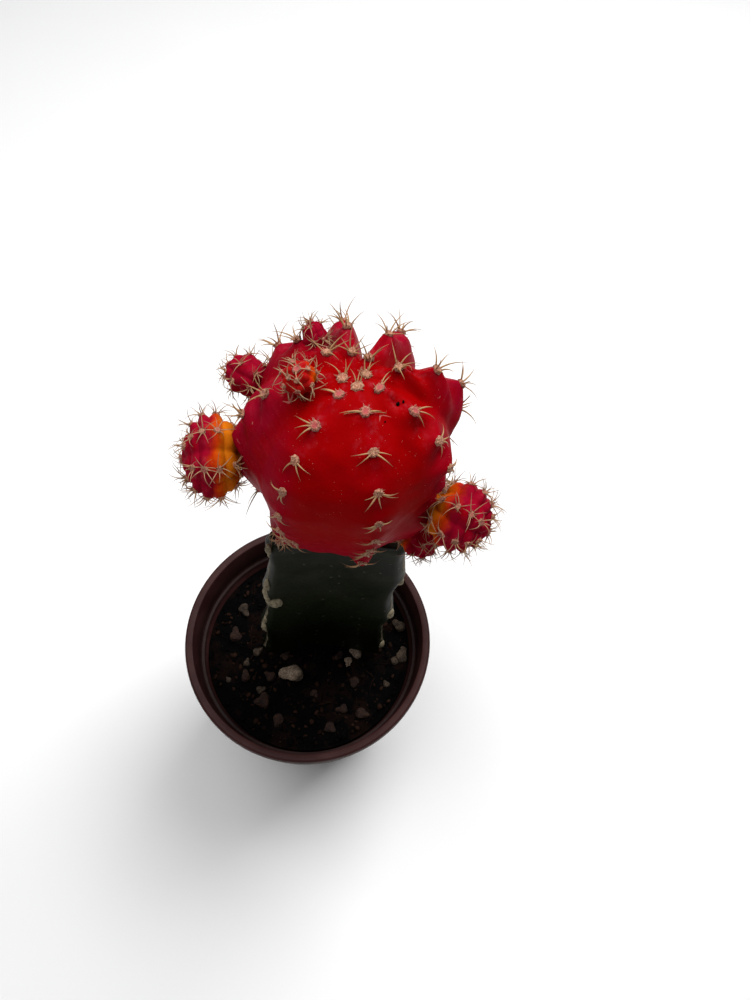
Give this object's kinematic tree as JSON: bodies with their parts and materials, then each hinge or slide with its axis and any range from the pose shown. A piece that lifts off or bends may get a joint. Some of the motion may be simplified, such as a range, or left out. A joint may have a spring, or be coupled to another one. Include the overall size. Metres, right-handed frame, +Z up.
{
  "type": "potted moon cactus",
  "caption": "Grafted moon cactus: a red ribbed head with small offsets on a three-winged green rootstock, standing in the soil of a small round nursery pot.",
  "frame": {"origin": "middle of the pot's flat base, on the surface that it stands on", "axes": "+Z up the stem, -Y towards the broad face of the rootstock, +X to the right of that face"},
  "size_m": [0.065, 0.06, 0.1492],
  "materials": {
    "pot_plastic": "brown moulded polypropylene, satin, slightly dusty",
    "peat": "moist dark peat with pale grit and bark",
    "green_skin": "dark grey-green waxy skin with corky margin areoles",
    "red_skin": "red succulent skin, satin, crimson on the ribs",
    "offset_skin": "crimson succulent skin with orange patches where an offset joins the head"
  },
  "bodies": {
    "root": {"pot": "pot_plastic", "soil": "peat", "rootstock": "green_skin", "head": "red_skin", "offset_left": "offset_skin", "offset_right": "offset_skin", "offset_right_low": "offset_skin", "offset_back_left": "offset_skin", "offset_crown": "offset_skin", "offset_back": "offset_skin", "offset_low_left": "offset_skin"}
  },
  "joints": []
}
